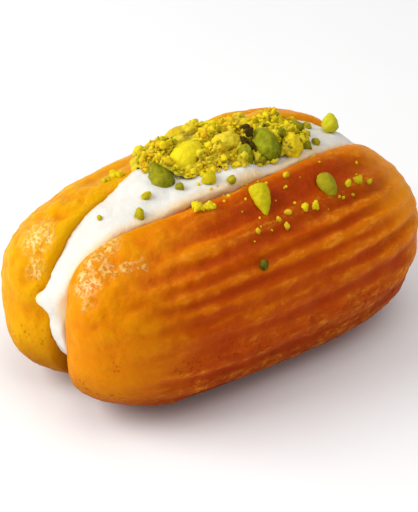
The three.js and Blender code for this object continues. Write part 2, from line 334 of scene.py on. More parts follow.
def placed(piece, at, size, turn, taper):
    """Pinches, sizes, turns and places a ball of radius 1, as the CAD does with its lumps."""
    a, b, c = (points_of(piece) * MM).T
    pinch = 1 - taper * a
    shaped = np.stack([a * size[0], b * pinch * size[1], c * pinch * size[2]], 1) / 2
    turned = np.array(Euler([math.radians(angle) for angle in turn]).to_matrix())
    move_points(piece, shaped @ turned.T + np.array(at) - (MIDDLE_X, 0, 0))
    return piece


def tongue(name, clearance):
    """The tongue of cream that was pressed out over the back half's edge, or room for it."""
    bpy.ops.object.select_all(action="DESELECT")
    bpy.ops.mesh.primitive_uv_sphere_add(segments=32, ring_count=16, rotation=(0, math.pi / 2, 0))
    size = PRESSED_OUT_SIZE + 2 * clearance
    return placed(named(name), PRESSED_OUT_AT, size, PRESSED_OUT_TURN, PRESSED_OUT_TAPER)


def cut_with(piece, cutter, how):
    """One Boolean with a cutter, which is then thrown away."""
    modify(piece, "BOOLEAN", object=cutter, operation=how, solver="EXACT")
    bpy.data.objects.remove(cutter)


cut_with(dough, wedge("knife_room", GAP), "DIFFERENCE")
cut_with(dough, tongue("tongue_room", GAP), "DIFFERENCE")
print("slit finger:", len(dough.data.polygons), "faces")

# %% [markdown]
# ## The fried skin
#
# Frying rounds the cut rims and raises small blisters, and on the top of the near end, where
# syrup has dried into bubbles, the skin is lumpier still. Remeshing into even little squares
# gives every part of the skin the same resolution, so that smoothing and Displace modifiers act
# evenly. Vertex groups say how much of it each part gets, so the slit's walls get no blisters.


# %% Tools for the skin
def weigh(piece, group, weights):
    """A vertex group with a weight for each point, in tenths."""
    made = piece.vertex_groups.new(name=group)
    for step in range(1, 11):
        chosen = np.flatnonzero(np.round(weights * 10) == step)
        made.add(chosen.tolist(), step / 10, "REPLACE")


def lumps(kind, size, **settings):
    """A pattern for a Displace modifier, its lumps about this many millimetres across."""
    pattern = bpy.data.textures.new(kind.lower(), kind)
    pattern.noise_scale = size * MM
    for key, value in settings.items():
        setattr(pattern, key, value)
    return pattern


def raise_skin(piece, pattern, height, group=""):
    """Moves the skin out and in along its normals, by this many millimetres in all."""
    modify(
        piece,
        "DISPLACE",
        texture=pattern,
        texture_coords="LOCAL",
        strength=height * MM,
        vertex_group=group,
    )


# %% Rounded rims and blisters
DOUGH_GRID = 0.49  # the size of the remesh's squares, in millimetres; the finest that keeps the piece under 200,000 triangles
BLISTERS = [(9, 1, 0.9), (2.4, 2, 0.3), (1.1, 1, 0.16)]  # size, levels of finer ones, height
SYRUP_LUMPS = [(1.5, 2, 0.4), (5, 1, 1.1)]

modify(dough, "REMESH", mode="VOXEL", voxel_size=DOUGH_GRID * MM)
places = points_of(dough)
from_slit = np.abs(places[:, 1]) - slit_half_width(places[:, 0])
beside_slit = smoothstep(0.2, 1.4, from_slit)
near_top = smoothstep(-16, -27, places[:, 0]) * smoothstep(17, 26, places[:, 2])
weigh(dough, "rims", smoothstep(3.2, 0.4, from_slit) * smoothstep(16, 24, places[:, 2]))
weigh(dough, "outside", beside_slit * smoothstep(0.4, 3, places[:, 2]))
weigh(dough, "syrupy", near_top * beside_slit)
modify(dough, "SMOOTH", factor=0.6, iterations=16, vertex_group="rims")
modify(dough, "SMOOTH", factor=0.5, iterations=3)
for group, layers in [("outside", BLISTERS), ("syrupy", SYRUP_LUMPS)]:
    for size, finer, height in layers:
        raise_skin(dough, lumps("CLOUDS", size, noise_depth=finer), height, group)
shade(dough)
print("dough skin:", len(dough.data.polygons), "faces, mm:", points_of(dough).max(0).round(1))

# %% [markdown]
# The crest of a ridge is paler than its valley: light is painted on the crest, and shade in the
# valley, where syrup also gathers. To know which is which, the skin is compared with a heavily
# smoothed copy of itself: what stands above the copy is a crest, and what lies below it is a
# valley. The height is kept on the points, for the finish.


# %% Height above the smoothed skin, in millimetres
def keep_relief(piece, iterations):
    """Keeps on each point how far it stands above a copy that is smoothed this many times."""
    alone(piece)
    bpy.ops.object.duplicate()
    smooth_copy = bpy.context.object
    modify(smooth_copy, "SMOOTH", factor=0.9, iterations=iterations)
    above = ((points_of(piece) - points_of(smooth_copy)) * normals_of(piece)).sum(1)
    bpy.data.objects.remove(smooth_copy)
    keep(piece, "relief", above)
    print(piece.name, "relief from", above.min().round(2), "to", above.max().round(2), "mm")


keep_relief(dough, 60)

# %% [markdown]
# ## Finishes as sums
#
# A finish is a small program of nodes. The first class wraps a node's output, so that 1 - mask or
# height * 3 can be written as in Python. The second holds a material, and one method of it adds
# any other node.


# %% Values, on which sums can be written
class Value:
    """A node's output."""

    def __init__(self, socket):
        self.socket = socket

    def sum(self, operation, first, second):
        """Adds a Math node that works on two values or numbers."""
        tree = self.socket.id_data
        node = tree.nodes.new("ShaderNodeMath")
        node.operation = operation
        feed(node.inputs[0], first)
        feed(node.inputs[1], second)
        return Value(node.outputs[0])

    def __add__(self, other):
        return self.sum("ADD", self, other)

    def __sub__(self, other):
        return self.sum("SUBTRACT", self, other)

    def __rsub__(self, other):
        return self.sum("SUBTRACT", other, self)

    def __mul__(self, other):
        return self.sum("MULTIPLY", self, other)

    __radd__, __rmul__ = __add__, __mul__


def feed(socket, what):
    """Links a value to a socket, or sets the number or colour there."""
    if isinstance(what, Value):
        socket.id_data.links.new(what.socket, socket)
    elif hasattr(what, "__len__") and len(what) == 3 and len(socket.default_value) == 4:
        socket.default_value = (*what, 1)
    else:
        socket.default_value = what


# %% Finishes
class Finish:
    """A material with one Principled shader, and the means to add nodes before it."""

    def __init__(self, name, **constants):
        self.material = bpy.data.materials.new(name)
        self.material.use_nodes = True
        self.tree = self.material.node_tree
        self.shader = self.tree.nodes["Principled BSDF"]
        for key, value in constants.items():
            feed(self.shader.inputs[key.replace("_", " ")], value)
        self.place = Value(self.tree.nodes.new("ShaderNodeTexCoord").outputs["Object"])
        self.mm = self.node("VectorMath", {"operation": "SCALE"}, {0: self.place, 3: 1 / MM})

    def node(self, kind, settings, inputs, output=0):
        """Adds a node of any type: settings first, then its sockets."""
        made = self.tree.nodes.new("ShaderNode" + kind)
        for key, value in settings.items():
            if key == "stops":
                ramp = made.color_ramp.elements
                while len(ramp) < len(value):
                    ramp.new(1)
                for stop, (position, colour) in zip(ramp, value):
                    stop.position, stop.color = position, (*colour, 1)
            else:
                setattr(made, key, value)
        for key, value in inputs.items():
            feed(made.inputs[key], value)
        return Value(made.outputs[output])

    def noise(self, size, detail=2, roughness=0.5, distortion=0, stretch=None):
        """Soft noise from 0 to 1, its swells this many millimetres across."""
        where = self.mm
        if stretch:
            where = self.node("VectorMath", {"operation": "MULTIPLY"}, {0: where, 1: stretch})
        sockets = {"Vector": where, "Scale": 1 / size, "Detail": detail}
        return self.node(
            "TexNoise", {}, {**sockets, "Roughness": roughness, "Distortion": distortion}
        )

    def cells(self, size):
        """Cells about this many millimetres across: the distance from their middles."""
        return self.node("TexVoronoi", {}, {"Vector": self.mm, "Scale": 1 / size}, "Distance")

    def ramp(self, value, stops):
        """Colours along a value from 0 to 1."""
        return self.node("ValToRGB", {"stops": stops}, {0: value}, "Color")

    def step(self, value, low, high):
        """0 below low, 1 above high, and a smooth rise between; low may be the greater."""
        return self.node(
            "MapRange",
            {"interpolation_type": "SMOOTHSTEP"},
            {"Value": value, "From Min": low, "From Max": high},
            "Result",
        )

    def mix(self, share, first, second, how="MIX"):
        """The first colour where the share is 0, and the second where it is 1."""
        return self.node(
            "Mix",
            {"data_type": "RGBA", "blend_type": how},
            {0: share, 6: first, 7: second},
            2,
        )

    def near(self, place, reach):
        """1 close to a place, and 0 beyond about that many millimetres, with a ragged edge."""
        away = self.node("VectorMath", {"operation": "DISTANCE"}, {0: self.mm, 1: place}, "Value")
        return self.step(away + self.noise(2.2) * 3 - 1.5, reach, reach * 0.4)

    def axis(self, name):
        """How far along X, Y or Z, in millimetres."""
        return self.node("SeparateXYZ", {}, {0: self.mm}, name)

    def kept(self, attribute):
        """A number that is kept on the points."""
        return self.node("Attribute", {"attribute_name": attribute}, {}, "Fac")

    def bump(self, height, depth, after=None):
        """A normal for relief this many millimetres deep, on top of the bump before it."""
        sockets = {"Height": height, "Distance": depth * MM}
        if after:
            sockets["Normal"] = after
        return self.node("Bump", {}, sockets, "Normal")

    def wear(self, piece, **varying):
        """Feeds what varies to the shader and puts the finish on a piece."""
        for key, value in varying.items():
            feed(self.shader.inputs[key.replace("_", " ")], value)
        piece.data.materials.clear()
        piece.data.materials.append(self.material)
        print(piece.name, "wears", self.material.name, "of", len(self.tree.nodes), "nodes")


# %% [markdown]
# ## Syrup-soaked crust
#
# The back half and the near end face the window and are gold, partly from browning and partly
# from painted light. The rest of the front half is deeper orange, from browning and painted shade,
# paler along its ridges with painted light and almost red-brown in their valleys with painted
# shade, where syrup also gathers. A band under its rim is red-brown and its lower flanks are
# duller, both with painted shade. The top of the far end is amber with painted light, its edge has
# a painted sheen, and the foot is brown with painted shade. The crust is a little see-through,
# hence the subsurface light. Painting it by hand would do for one side only, while masks made
# from place, relief and noise work all round.

# %% Where the crust is what, as masks from 0 to 1
crust = Finish(
    "syrup_soaked_crust",
    Subsurface_Weight=0.45,
    Subsurface_Radius=(1.0, 0.22, 0.02),
    Subsurface_Scale=2.2 * MM,
    Specular_IOR_Level=0.03,
    Coat_Roughness=0.16,
    IOR=1.45,
)
x, y, z = crust.axis("X"), crust.axis("Y"), crust.axis("Z")
relief = crust.kept("relief")
mottle = crust.noise(5, 3, 0.6)
streaks = crust.noise(1, 1.5, stretch=(0.03, 0.45, 0.45))  # drawn out along the ridges
# crests and valleys, for painted light on the crests and painted shade in the valleys
crest = crust.step(relief + (streaks - 0.5) * 0.9, -0.36, 0.5)
soft_crest = crust.step(relief + (mottle - 0.5) * 0.5, -0.6, 0.5)
rear = crust.step(y, -3, 5)
# the near end and the back half, which face the window: gold that is partly painted light, partly
# browning
lit_gold_side = crust.step(x + mottle * 14 - rear * 90 - crust.step(z, 31, 36) * 11, -12, -34)
# painted light: the top of the far end is paler
lit_far_top = crust.step(x + mottle * 10, 21, 38) * crust.step(z + mottle * 6, 23, 33)
# a painted sheen along the far end's edge
far_edge_sheen = crust.step(x + mottle * 6, 30, 41) * crust.step(z, 8, 16)
# painted shade in the hollow band under the front half's rim
rim_hollow_shade = crust.step(y, -9, -13) * crust.step(y, -23, -19) * crust.step(z, 29, 33)
rim_hollow_shade = rim_hollow_shade * crust.step(x + mottle * 12, -10, 6) * crust.step(x + mottle * 10, 42, 30)
# the lower flanks, which get painted shade, pores and blotches
flank = crust.step(z + mottle * 8, 34, 12)
# the foot, at the bottom, which gets painted shade
foot = crust.step(z + mottle * 5, 18, 6)
print("masks of the crust:", len(crust.tree.nodes), "nodes")

# %% The crust's main colours, with painted light and shade
# Each ramp runs from valley to crest: painted shade in the valleys, where syrup also gathers, and
# painted light on the crests. The deep ramp, on the front half, is darker from browning and
# painted shade.
DEEP_SHADED = [(0.0, (0.45, 0.050, 0.001)), (0.5, (0.54, 0.082, 0.001)), (1.0, (0.69, 0.170, 0.001))]
SUNLIT_GOLD = [(0.0, (0.60, 0.12, 0.001)), (0.5, (0.71, 0.20, 0.001)), (1.0, (0.76, 0.29, 0.001))]
MORE_GOLD = (1.0, 1.32, 1.0)  # times the sunlit colour on the back half: partly painted light, partly browning
FLANK_SHADE = (0.86, 0.66, 0.4)  # times what is there, on the flanks: painted shade
LIT_AMBER = (0.84, 0.26, 0.001)
SHEEN_AMBER = (0.84, 0.30, 0.004)
HOLLOW_SHADE_RED = (0.30, 0.024, 0.001)
UNDERSIDE_SHADE_BROWN = (0.20, 0.018, 0.001)

# gold from painted light and some browning, on the near end and the back half
sunlit_gold = crust.ramp(soft_crest, SUNLIT_GOLD)
lit_back_gold = crust.mix(1.0, sunlit_gold, MORE_GOLD, "MULTIPLY")
colour = crust.mix(lit_gold_side, crust.ramp(crest, DEEP_SHADED), crust.mix(rear, sunlit_gold, lit_back_gold))
# painted light on the top of the far end, in amber
colour = crust.mix(lit_far_top * 0.9, colour, LIT_AMBER)
# painted sheen on the far end's edge, in pale amber
colour = crust.mix(far_edge_sheen * 0.7, colour, SHEEN_AMBER)
# painted shade, red-brown, in the hollow under the front rim
colour = crust.mix(rim_hollow_shade * 0.6, colour, HOLLOW_SHADE_RED)
# painted shade: the lower flanks of the front half are duller
flank_shaded = crust.mix(1.0, colour, FLANK_SHADE, "MULTIPLY")
colour = crust.mix(flank * crust.step(x - rear * 24, -50, -22) * 0.8, colour, flank_shaded)
# painted shade on the foot, in brown
colour = crust.mix(foot * 0.75, colour, UNDERSIDE_SHADE_BROWN)
print("with its main colours:", len(crust.tree.nodes), "nodes")

# %% [markdown]
# Close up, painted glints sit on the ridges, the flanks are blotched, and frying has left pores in
# them. On the top of the near end a pale highlight is painted in bubbly patches of syrup, which
# alone have a real coat. Noise could scatter them, but they catch the eye, so each has its own
# place.

# %% Painted glints, blotches, pores, and bubbly syrup with a painted highlight
# the colour of the painted glints
GLINT_GOLD = (0.86, 0.36, 0.03)
BLOTCH_BROWN = (0.30, 0.036, 0.001)
PORE_BROWN = (0.20, 0.03, 0.001)
# the colour of the painted highlight in the bubbly syrup
PAINTED_HIGHLIGHT_YELLOW = (0.88, 0.66, 0.20)
HIGHLIGHT_PATCHES = [  # their middles and how far each reaches, in millimetres
    ((-36, 8.5, 32.5), 5),
    ((-39, 5.5, 28), 2.8),
    ((-30.6, -5.8, 35.3), 3.8),
    ((-34.4, -7.2, 33.8), 3.6),
    ((-37.6, -8.4, 31.4), 4),
    ((-33.9, -10.8, 33.5), 2.2),
    ((-31, -12.1, 33.9), 1.8),
    ((-28.2, -13.3, 34), 1.6),
    ((-39, -11, 28), 2),
]

# painted glints: paler gold specks on the crests and flanks
painted_glints = crust.step(crust.noise(1.2, 2, 0.7, stretch=(0.45, 1, 1)), 0.5, 0.62)
painted_glints = painted_glints * crust.step(crest + flank * 0.3, 0.5, 1.1)
colour = crust.mix(painted_glints * crust.step(x, -36, -20) * 0.38, colour, GLINT_GOLD)
blotches = crust.step(crust.noise(2, 4, 0.72, 0.4), 0.47, 0.66) * flank * crust.step(x, -34, -14)
colour = crust.mix(blotches * 0.45, colour, BLOTCH_BROWN)
pores = crust.step(crust.cells(0.9), 0.42, 0.15) * crust.step(crust.noise(6), 0.5, 0.62) * flank
colour = crust.mix(pores * 0.4, colour, PORE_BROWN)
# a pale highlight is painted in these bubbly patches, which also get the coat and a bump
highlight_spots = 0.0
for place, reach in HIGHLIGHT_PATCHES:
    highlight_spot = crust.near(place, reach)
    highlight_spots = highlight_spot.sum("MAXIMUM", highlight_spot, highlight_spots)
bubbly_highlight = highlight_spots * crust.step(crust.noise(0.9, 3, 0.7), 0.42, 0.60)
colour = crust.mix(bubbly_highlight * 0.62, colour, PAINTED_HIGHLIGHT_YELLOW)
fine = crust.noise(0.8, 3, 0.65)
skin = crust.bump(fine, 0.22)
skin = crust.bump(pores + blotches * 0.6, -0.25, after=skin)
skin = crust.bump(crust.noise(2, 3, 0.6), 0.3, after=skin)
skin = crust.bump(bubbly_highlight, 0.12, after=skin)
crust.wear(
    dough,
    Base_Color=colour,
    Roughness=0.3 + flank * 0.2 + pores * 0.2 + fine * 0.1,
    Coat_Weight=bubbly_highlight * 0.6 + 0.02,
    Normal=skin,
)

# %% [markdown]
# ## The cream
#
# Whipped cream fills the slit and swells a little above its rims. A tube is given the same
# crowned shape as in the CAD, and only what lies inside the slit's wedge is kept of it. The
# tongue that was pressed out at the near end is joined on, and the whole is remeshed and smoothed
# until nothing of the wedge's edges is left.

# %% The filling's form
CREAM_LENGTH = 79.2
CREAM_WIDTH = 44
CREAM_TOP = 39.8
CREAM_SIDE_BLUNTNESS = 2.5
CREAM_END_BLUNTNESS = 2.7
CREAM_SWELLS = 0.5
CREAM_GAP = GAP + 0.1
CREAM_GRID = 0.5
FRONT_AMBER_REACH = 2.8  # how far the amber reaches into the cream from the front half's rim
BACK_AMBER_REACH = 1.4


def crowned_form(station, share, turn):
    """Places on the crowned shape that the slit cuts the filling out of."""
    middle = CREAM_TOP / 2
    aside = signed_power(np.sin(turn * np.pi), 2 / CREAM_END_BLUNTNESS)
    upwards = signed_power(np.cos(turn * np.pi), 2 / CREAM_END_BLUNTNESS)
    x = station * CREAM_LENGTH / 2
    y = -aside * CREAM_WIDTH / 2 * share
    waves = np.sin(x * 0.42 + 1.3) * 0.6 + np.sin(x * 0.23 - y * 0.35) * 0.7
    swell = CREAM_SWELLS * waves * np.maximum(0, upwards) * share
    return np.stack([x - MIDDLE_X, y, middle + upwards * middle * share + swell], 1)


cream = tube("whipped_cream", 96, 80)
rows = ball_rows(points_of(cream) * MM, CREAM_SIDE_BLUNTNESS, CREAM_SIDE_BLUNTNESS)
move_points(cream, crowned_form(*rows))
closed(cream)
cut_with(cream, wedge("slit_room", CREAM_GAP), "INTERSECT")
cut_with(cream, tongue("tongue_of_cream", 0.1), "UNION")
modify(cream, "REMESH", mode="VOXEL", voxel_size=CREAM_GRID * MM)
modify(cream, "SMOOTH", factor=0.6, iterations=8)
raise_skin(cream, lumps("CLOUDS", 5, noise_depth=1), 0.9)
raise_skin(cream, lumps("CLOUDS", 1.6, noise_depth=2), 0.35)
shade(cream)
places = points_of(cream)
from_rim = slit_half_width(places[:, 0]) - np.abs(places[:, 1])
amber_reach = np.where(places[:, 1] < 0, FRONT_AMBER_REACH, BACK_AMBER_REACH)
# amber along the rims, reaching further on the front half's side
keep(cream, "stain", smoothstep(amber_reach, 0.1, from_rim) * smoothstep(12, 24, places[:, 2]))
print("cream:", len(cream.data.polygons), "faces, mm:", points_of(cream).max(0).round(1))

# %% [markdown]
# Cream scatters light inside, so its shadows stay soft and a little warm. Fine air bubbles make
# its surface matt, with only a slight sheen. Along the rims it is coloured amber, wider on the
# front half's side.

# %% The cream's finish
WHITE = (0.80, 0.775, 0.72)
GREYER_WHITE = (0.70, 0.67, 0.60)
RIM_AMBER = (0.82, 0.52, 0.18)

whipped = Finish(
    "whipped_cream",
    Subsurface_Weight=0.6,
    Subsurface_Radius=(1.0, 0.9, 0.8),
    Subsurface_Scale=2.0 * MM,
    IOR=1.4,
)
soft = whipped.noise(4, 3, 0.6)
bubbles = whipped.noise(0.5, 3, 0.6)
white = whipped.mix(soft, WHITE, GREYER_WHITE)
whipped.wear(
    cream,
    Base_Color=whipped.mix(whipped.kept("stain") * (soft + 0.2), white, RIM_AMBER),
    Roughness=0.42 + bubbles * 0.2,
    Normal=whipped.bump(whipped.noise(1.4, 3, 0.6), 0.25, after=whipped.bump(bubbles, 0.06)),
)

# %% [markdown]
# ## Kernels
#
# A chopped pistachio kernel is a smooth, rounded bean with cut faces. One bean is modelled: a
# ball with its poles on X, sliced flat on two sides. Copies of it, each with its own mesh, are
# pinched, turned and sized like the CAD solids that they stand for, and a remesh with a little
# smoothing rounds their edges. Two are also cut off across their wide end, and three have
# crumbled.

# %% One bean
BEAN_RINGS = 14
BEAN_SLICES = (0.5, -2.4)  # how each slice is turned round X, in radians
BEAN_SLICE_AT = 0.9
BEAN_SLICE_SLOPE = 0.15


def sliced_bean(name):
    """A ball of radius 1 with its poles on X, sliced on two sides."""
    bpy.ops.object.select_all(action="DESELECT")
    bpy.ops.mesh.primitive_uv_sphere_add(
        segments=BEAN_RINGS * 2, ring_count=BEAN_RINGS, rotation=(0, math.pi / 2, 0)
    )
    piece = named(name)
    bpy.ops.object.mode_set(mode="EDIT")
    for turn in BEAN_SLICES:
        bpy.ops.mesh.select_all(action="SELECT")
        bpy.ops.mesh.bisect(
            plane_co=(0, BEAN_SLICE_AT * math.sin(turn), BEAN_SLICE_AT * math.cos(turn)),
            plane_no=(BEAN_SLICE_SLOPE, math.sin(turn), math.cos(turn)),
            use_fill=True,
            clear_outer=True,
        )
    bpy.ops.object.mode_set(mode="OBJECT")
    return piece


bean = sliced_bean("bean")
print("bean:", len(bean.data.polygons), "faces")

# %% The chopped pieces: middle, length by width by height, turn in degrees, and taper
KERNELS = {
    "dark_end": ((9.6, -4, 41.2), (7.6, 5.2, 5), (0, -40, 86), 0.1),
    "teardrop": ((-12.4, 1.6, 39.6), (7.2, 4.6, 3.8), (0, -27, 84), 0.5),
    "long": ((0.8, 11.6, 39.4), (7.4, 4.4, 4), (0, -6, 6), 0.25),
    "lump": ((-4.4, 3, 40.6), (8.6, 6.2, 5.6), (0, -11, 14), 0.15),
    "rough": ((3.6, 0.8, 42), (6.2, 4.6, 3.6), (0, 0, -12), 0.1),
    "small": ((4.4, -3.9, 40.6), (4.6, 3.2, 3.4), (0, -60, 50), 0.2),
    "cluster": ((14.6, -6, 40), (5.8, 4.2, 4), (0, -50, 60), 0.1),
    "wedge": ((0.2, -13.6, 37.4), (7.8, 3.6, 2.6), (0, 34, -111), 0.5),
    "leaf": ((14.2, -17, 36.6), (5.4, 3.6, 2.6), (0, 27, -100), 0.2),
    "far": ((30.2, -0.4, 37.2), (4.2, 3.4, 3.2), (0, -62, 60), 0.4),
}
CUT_ACROSS = {"wedge": -0.7, "long": -0.8}  # where, from -1 at the wide end to 1
CRUMBLY = ["rough", "cluster", "small"]
KERNEL_GRID = 0.17

kernels = {}
for name, (at, size, turn, taper) in KERNELS.items():
    alone(bean)
    bpy.ops.object.duplicate()
    kernel = bpy.context.object
    kernel.name = kernel.data.name = "kernel_piece_" + name
    if name in CUT_ACROSS:
        places = points_of(kernel)
        places[:, 0] = np.maximum(places[:, 0], CUT_ACROSS[name] / MM)
        move_points(kernel, places)
    placed(kernel, at, size, turn, taper)
    modify(kernel, "REMESH", mode="VOXEL", voxel_size=KERNEL_GRID * MM)
    modify(kernel, "SMOOTH", factor=0.5, iterations=3)
    dents, pits = (1.1, 0.5) if name in CRUMBLY else (0.6, 0.12)
    raise_skin(kernel, lumps("CLOUDS", 2.2, noise_depth=2), dents)
    raise_skin(kernel, lumps("CLOUDS", 0.8, noise_depth=2), pits)
    shade(kernel)
    kernels[name] = kernel
print("kernels:", {name: len(kernel.data.polygons) for name, kernel in kernels.items()})

# %% [markdown]
# ## The heap
#
# Under its loose crumbs the heap is one packed mass. Its core comes from the CAD solid: a copy is
# merged into one skin, remeshed and roughened. More crumbs could fill it instead, but most of
# them would never show.

# %% The heap's core
CORE_GRID = 0.3

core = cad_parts["pistachio_heap"].copy()
core.data = core.data.copy()
bpy.context.scene.collection.objects.link(core)
for key in list(core.keys()):
    del core[key]
core.parent = None
core.name = core.data.name = "pistachio_core"
closed(core)
modify(core, "REMESH", mode="VOXEL", voxel_size=CORE_GRID * MM)
modify(core, "SMOOTH", factor=0.5, iterations=2)
raise_skin(core, lumps("CLOUDS", 2.5, noise_depth=2), 1.2)
raise_skin(core, lumps("VORONOI", 0.9), 0.4)
shade(core)
keep_relief(core, 30)
print("heap core:", len(core.data.polygons), "faces")

# %% [markdown]
# A crumb is a chopped little ball. A few forms are made, each an icosphere with three slices
# taken off it, and copies of them are dropped straight down onto what lies below. A particle
# system could strew them as well, but with one ray for each crumb none lands on a large kernel,
# and one seeded generator gives the same heap on each run.

# %% A few forms of crumb
CRUMB_FORMS = 5
CRUMB_SLICES = 3
CRUMB_SLICE_AT = 0.75


def chopped_crumb(index):
    """One crumb form, about 2 across."""
    bpy.ops.object.select_all(action="DESELECT")
    bpy.ops.mesh.primitive_ico_sphere_add(subdivisions=2, radius=1.15)
    piece = named(f"crumb_form_{index}")
    bpy.ops.object.mode_set(mode="EDIT")
    for cut in range(CRUMB_SLICES):
        angle = 2.1 * cut + index
        side = Vector((math.cos(angle), math.sin(angle), math.sin(3 * index + cut)))
        bpy.ops.mesh.select_all(action="SELECT")
        bpy.ops.mesh.bisect(
            plane_co=side.normalized() * CRUMB_SLICE_AT,
            plane_no=side,
            use_fill=True,
            clear_outer=True,
        )
    bpy.ops.object.mode_set(mode="OBJECT")
    places = points_of(piece) * MM
    places *= 1 + 0.3 * grain(places, 0.7, index)[:, None]
    move_points(piece, places / MM)
    return piece


crumb_forms = [chopped_crumb(index) for index in range(CRUMB_FORMS)]
print("crumb forms:", [len(form.data.polygons) for form in crumb_forms], "faces")


# %% Strewing
def surface_of(*pieces):
    """What a crumb can fall on: the faces of these pieces in one tree."""
    corners, faces = [], []
    for piece in pieces:
        start = len(corners)
        corners.extend(v.co.copy() for v in piece.data.vertices)
        faces.extend([start + i for i in polygon.vertices] for polygon in piece.data.polygons)
    return BVHTree.FromPolygons(corners, faces)


draw = np.random.default_rng(7)
ground = surface_of(core, dough, cream)
kernel_skins = surface_of(*kernels.values())
DOWN = Vector((0, 0, -1))
FALL_FROM = 80


def strewn(name, spots, sink, clearance, narrowest, widest):
    """One piece made of a crumb at each spot: X, Y, size, and a tint from 0, yellow, to 1, brown.

    Each is sunk by a share of its size, stays this many millimetres clear of the kernels, and is
    stretched along each axis by a factor from the narrowest to the widest.
    """
    copies = []
    for index, (x, y, size, tint) in enumerate(spots):
        above = Vector((x, y, FALL_FROM)) * MM
        hit, normal, _, _ = ground.ray_cast(above, DOWN)
        if hit is None or kernel_skins.ray_cast(above, DOWN)[0]:
            continue
        if kernel_skins.find_nearest(hit, clearance * MM)[0]:
            continue
        form = crumb_forms[index % len(crumb_forms)]
        crumb = form.copy()
        crumb.data = form.data.copy()
        bpy.context.scene.collection.objects.link(crumb)
        sizes = size / 2 * draw.uniform(narrowest, widest, 3)
        turned = np.array(Euler(draw.uniform(0, 6.28, 3)).to_matrix())
        middle = np.array(hit / MM) + np.array(normal) * size * (0.5 - sink) * 0.8
        move_points(crumb, (points_of(crumb) * MM * sizes) @ turned.T + middle)
        keep(crumb, "tint", np.full(len(crumb.data.vertices), tint))
        copies.append(crumb)
    bpy.ops.object.select_all(action="DESELECT")
    for crumb in copies:
        crumb.select_set(True)
    bpy.context.view_layer.objects.active = copies[0]
    bpy.ops.object.join()
    bpy.ops.object.shade_smooth_by_angle(angle=math.radians(60))
    piece = bpy.context.object
    piece.name = piece.data.name = name
    print(name, len(copies), "crumbs,", len(piece.data.polygons), "faces")
    return piece


# %% The heap's crumbs
HEAP_CRUMBS = 1350
HEAP_CENTRE = np.array([4, 2.2])
HEAP_HALF = np.array([18.4, 8.4])
HEAP_TURN = math.radians(-14)
BARE = [((-1.4, 8.4), 3.4), ((14, 9), 3.6)]  # where no crumb hides the long kernel or the rim
SMALLEST_CRUMB = 0.42
CRUMB_RANGE = 1.1


def heap_spots(count):
    """Spots over the heap, closer together in its middle, and yellower or greener in patches."""
    radius = draw.uniform(0, 1, count) ** 0.6
    angle = draw.uniform(0, 2 * math.pi, count)
    a, b = HEAP_HALF[:, None] * radius * [np.cos(angle), np.sin(angle)]
    x = HEAP_CENTRE[0] - MIDDLE_X + a * math.cos(HEAP_TURN) - b * math.sin(HEAP_TURN)
    y = HEAP_CENTRE[1] + a * math.sin(HEAP_TURN) + b * math.cos(HEAP_TURN)
    size = SMALLEST_CRUMB + CRUMB_RANGE * draw.uniform(0, 1, count) ** 3
    tint = 0.06 + 0.7 * draw.uniform(0, 1, count) ** 2.8
    patchy = grain(np.stack([x, y, np.zeros(count)], 1), 4.5, seed=2)
    spots = np.stack([x, y, size, np.clip(tint + 0.35 * patchy, 0.02, 0.9)], 1)
    for (bare_x, bare_y), reach in BARE:
        spots = spots[np.hypot(spots[:, 0] - bare_x, spots[:, 1] - bare_y) > reach]
    return spots


heap_crumbs = strewn(
    "pistachio_crumbs",
    heap_spots(HEAP_CRUMBS),
    sink=0.25,
    clearance=0.5,
    narrowest=0.55,
    widest=1.35,
)

# %% [markdown]
# Some crumbs lie apart, and each of these has its own place, size and tint. Where the CAD has one
# large pale crumb, a few small ones huddle together, as a nut crumbles. Brown bits of the nut's
# skin are among them, most heaped beside the dark-ended kernel as painted shade, and fine specks
# dust the dough round the heap.

# %% Crumbs that lie apart: X, Y and size, and a tint for each or for all
LONE_CRUMBS = [
    (-22, -4.3, 2.4, 0.55), (-18, -1.2, 1.7, 0.5), (-11.4, -3.2, 1.8, 0.7), (-5.7, -5, 2.6, 0.4),
    (-2.4, -7.9, 1.7, 0.6), (21.6, -5.4, 2, 0.6), (23, -1, 1.7, 0.5), (26.6, 2.6, 1.6, 0.6),
    (-27.2, 1.2, 1, 0.5), (21.6, -17.8, 1.7, 0.5), (24, -18.4, 1.2, 0.4), (18.8, -17.9, 1.4, 0.3),
    (6.8, -18.8, 1.3, 0.2), (9.1, -19.3, 1.5, 0.2), (3, -18.1, 1.2, 0.0), (1.2, -19.8, 1.2, 0.0),
    (0.4, -18.4, 1.1, 0.0), (-5.1, -18.7, 1, 0.0), (8.4, -11.4, 1.2, 0.0), (-11.9, -9.6, 2.6, 0.2),
    (-9.9, -10.2, 2, 0.2), (-7.4, -23.1, 2, 0.93), (-16, 10.4, 2.6, 0.2), (-18.4, 10.4, 1.7, 0.3),
    (-8.6, 13.4, 1.3, 0.2), (11, 14, 1.8, 0.4), (16.4, 12.8, 1.6, 0.3),
]
# the darkest tint: brown skin bits, most put beside the dark-ended kernel as painted shade
BROWN_AND_SHADE_TINT = 1.1
BROWN_BITS_AND_SHADE = [
    (7.6, -0.4, 1.7), (7, -2.6, 1.9), (6.4, -1, 1.6), (5.6, 2.2, 1.2), (8.6, 1.2, 1.4),
    (7.4, -1.6, 1.8), (5.7, -2, 1.4), (-6.6, 6.9, 1.5),
]
GREEN_TINT = 0.75
GREEN_BITS = [(18.6, -2.8, 2), (18.1, -6.7, 1.9), (13.3, -3.7, 1.8), (6.7, -6.3, 1.6)]
PALE = 0.35  # a crumb with less tint than this, and larger than the next value, has crumbled
WHOLE = 1.4
SPECKS = 50


